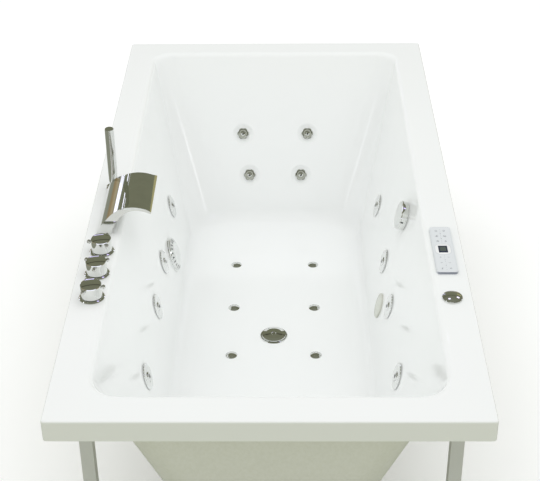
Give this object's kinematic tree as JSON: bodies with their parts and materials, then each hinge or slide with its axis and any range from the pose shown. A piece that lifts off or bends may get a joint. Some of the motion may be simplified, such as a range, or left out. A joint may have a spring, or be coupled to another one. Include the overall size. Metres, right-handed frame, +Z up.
{
  "type": "jetted bathtub",
  "caption": "Rectangular white drop-in bath with a sloping backrest, water and air jets, deck taps, waterfall spout, keypad, frame, pump and blower.",
  "frame": {"origin": "on the ground, under the middle of the rim", "axes": "+Z up, +Y towards the head end with the sloping backrest, +X towards the side with the keypad"},
  "size_m": [0.9, 1.8, 0.77],
  "materials": {
    "acrylic": "glossy",
    "board": "raw chipboard",
    "frame_paint": "powder coated",
    "zinc_steel": "zinc plated",
    "white_plastic": "smooth",
    "chrome": "polished",
    "lens": "frosted",
    "bezel": "smooth",
    "black_cable": "matte",
    "brass": "machined",
    "panel_silver": "satin",
    "panel_face": "printed film",
    "pump_plastic": "moulded",
    "motor_paint": "cast",
    "blower_plastic": "moulded",
    "box_plastic": "moulded",
    "rotor_steel": "machined"
  },
  "bodies": {
    "tub": {"tub_shell": "acrylic", "floor_board": "board", "support_frame": "frame_paint", "levelling_feet": "zinc_steel", "foot_lock_nuts": "zinc_steel", "equipment_tray": "frame_paint", "side_jet_housings": "white_plastic", "side_jet_rings": "chrome", "back_jet_housings": "white_plastic", "back_jet_rosettes": "chrome", "jet_nuts": "white_plastic", "air_injector_caps": "chrome", "air_injector_bodies": "white_plastic", "suction_housing": "white_plastic", "suction_cover": "chrome", "light_housing": "white_plastic", "light_lens": "lens", "light_bezel": "bezel", "overflow_housing": "white_plastic", "overflow_pipe": "white_plastic", "waste_cable": "black_cable", "drain_flange": "chrome", "drain_body": "white_plastic", "drain_trap": "white_plastic", "tap_bodies": "brass", "tap_flanges": "chrome", "deck_nuts": "brass", "spout": "chrome", "wand_holder": "chrome", "panel_housing": "panel_silver", "panel_overlay": "panel_face", "air_control_body": "white_plastic", "pump_volute": "pump_plastic", "pump_motor": "motor_paint", "blower": "blower_plastic", "control_box": "box_plastic", "water_pipes": "white_plastic", "air_pipes": "white_plastic", "suction_pipe": "white_plastic"},
    "cold_knob": {"cold_knob": "chrome"},
    "diverter_knob": {"diverter_knob": "chrome"},
    "hot_knob": {"hot_knob": "chrome"},
    "overflow_knob": {"overflow_knob": "chrome"},
    "drain_plug": {"drain_plug": "chrome"},
    "air_control_knob": {"air_control_knob": "chrome"},
    "shower_wand": {"shower_wand": "chrome"},
    "pump_rotor": {"pump_rotor": "rotor_steel"},
    "blower_rotor": {"blower_rotor": "rotor_steel"},
    "side_jet_nozzle_1": {"side_jet_nozzle_1": "chrome"},
    "side_jet_nozzle_2": {"side_jet_nozzle_2": "chrome"},
    "side_jet_nozzle_3": {"side_jet_nozzle_3": "chrome"},
    "side_jet_nozzle_4": {"side_jet_nozzle_4": "chrome"},
    "side_jet_nozzle_5": {"side_jet_nozzle_5": "chrome"},
    "side_jet_nozzle_6": {"side_jet_nozzle_6": "chrome"},
    "side_jet_nozzle_7": {"side_jet_nozzle_7": "chrome"},
    "side_jet_nozzle_8": {"side_jet_nozzle_8": "chrome"},
    "back_jet_nozzle_1": {"back_jet_nozzle_1": "chrome"},
    "back_jet_nozzle_2": {"back_jet_nozzle_2": "chrome"},
    "back_jet_nozzle_3": {"back_jet_nozzle_3": "chrome"},
    "back_jet_nozzle_4": {"back_jet_nozzle_4": "chrome"}
  },
  "joints": [
    {"name": "cold_tap_turn", "type": "hinge", "parent": "tub", "child": "cold_knob", "pos_m": [-0.401, -0.4775, 0.62], "axis": [0, 0, 1], "range_deg": [0, 90]},
    {"name": "diverter_tap_turn", "type": "hinge", "parent": "tub", "child": "diverter_knob", "pos_m": [-0.401, -0.3835, 0.62], "axis": [0, 0, 1], "range_deg": [0, 90]},
    {"name": "hot_tap_turn", "type": "hinge", "parent": "tub", "child": "hot_knob", "pos_m": [-0.401, -0.2895, 0.62], "axis": [0, 0, 1], "range_deg": [0, 90]},
    {"name": "overflow_turn", "type": "hinge", "parent": "tub", "child": "overflow_knob", "pos_m": [0.343, 0.008, 0.511], "axis": [-0.9627, 0, 0.2705], "range_deg": [0, 90]},
    {"name": "plug_lift", "type": "slide", "parent": "tub", "child": "drain_plug", "axis": [0, 0, 1], "range_m": [0, 0.009]},
    {"name": "air_control_turn", "type": "hinge", "parent": "tub", "child": "air_control_knob", "pos_m": [0.4035, -0.4835, 0.605], "axis": [0, 0, 1], "range_deg": [0, 180]},
    {"name": "wand_lift", "type": "slide", "parent": "tub", "child": "shower_wand", "axis": [0, 0, 1], "range_m": [0, 0.12]},
    {"name": "pump_spin", "type": "hinge", "parent": "tub", "child": "pump_rotor", "pos_m": [-0.1, 0.76, 0.246], "axis": [1, 0, 0], "continuous": true},
    {"name": "blower_spin", "type": "hinge", "parent": "tub", "child": "blower_rotor", "pos_m": [0.24457, 0.75, 0.25], "axis": [0, 0, 1], "continuous": true},
    {"name": "side_jet_aim_1", "type": "hinge", "parent": "tub", "child": "side_jet_nozzle_1", "pos_m": [-0.29925, -0.443, 0.34419], "axis": [-0.2705, 0, 0.9627], "range_deg": [-15, 15]},
    {"name": "side_jet_aim_2", "type": "hinge", "parent": "tub", "child": "side_jet_nozzle_2", "pos_m": [-0.29925, -0.16, 0.34419], "axis": [-0.2705, 0, 0.9627], "range_deg": [-15, 15]},
    {"name": "side_jet_aim_3", "type": "hinge", "parent": "tub", "child": "side_jet_nozzle_3", "pos_m": [-0.29925, 0.046, 0.34419], "axis": [-0.2705, 0, 0.9627], "range_deg": [-15, 15]},
    {"name": "side_jet_aim_4", "type": "hinge", "parent": "tub", "child": "side_jet_nozzle_4", "pos_m": [-0.29925, 0.334, 0.34419], "axis": [-0.2705, 0, 0.9627], "range_deg": [-15, 15]},
    {"name": "side_jet_aim_5", "type": "hinge", "parent": "tub", "child": "side_jet_nozzle_5", "pos_m": [0.29925, -0.443, 0.34419], "axis": [0.2705, 0, 0.9627], "range_deg": [-15, 15]},
    {"name": "side_jet_aim_6", "type": "hinge", "parent": "tub", "child": "side_jet_nozzle_6", "pos_m": [0.29925, -0.16, 0.34419], "axis": [0.2705, 0, 0.9627], "range_deg": [-15, 15]},
    {"name": "side_jet_aim_7", "type": "hinge", "parent": "tub", "child": "side_jet_nozzle_7", "pos_m": [0.29925, 0.046, 0.34419], "axis": [0.2705, 0, 0.9627], "range_deg": [-15, 15]},
    {"name": "side_jet_aim_8", "type": "hinge", "parent": "tub", "child": "side_jet_nozzle_8", "pos_m": [0.29925, 0.334, 0.34419], "axis": [0.2705, 0, 0.9627], "range_deg": [-15, 15]},
    {"name": "back_jet_spin_1", "type": "hinge", "parent": "tub", "child": "back_jet_nozzle_1", "pos_m": [-0.099, 0.68533, 0.39367], "axis": [0, -0.8321, 0.5547], "continuous": true},
    {"name": "back_jet_spin_2", "type": "hinge", "parent": "tub", "child": "back_jet_nozzle_2", "pos_m": [0.099, 0.68533, 0.39367], "axis": [0, -0.8321, 0.5547], "continuous": true},
    {"name": "back_jet_spin_3", "type": "hinge", "parent": "tub", "child": "back_jet_nozzle_3", "pos_m": [-0.079, 0.61466, 0.28767], "axis": [0, -0.8321, 0.5547], "continuous": true},
    {"name": "back_jet_spin_4", "type": "hinge", "parent": "tub", "child": "back_jet_nozzle_4", "pos_m": [0.079, 0.61466, 0.28767], "axis": [0, -0.8321, 0.5547], "continuous": true}
  ],
  "couplings": [
    {"joint": "plug_lift", "follows": "overflow_turn", "m_per_rad": 0.0057}
  ]
}
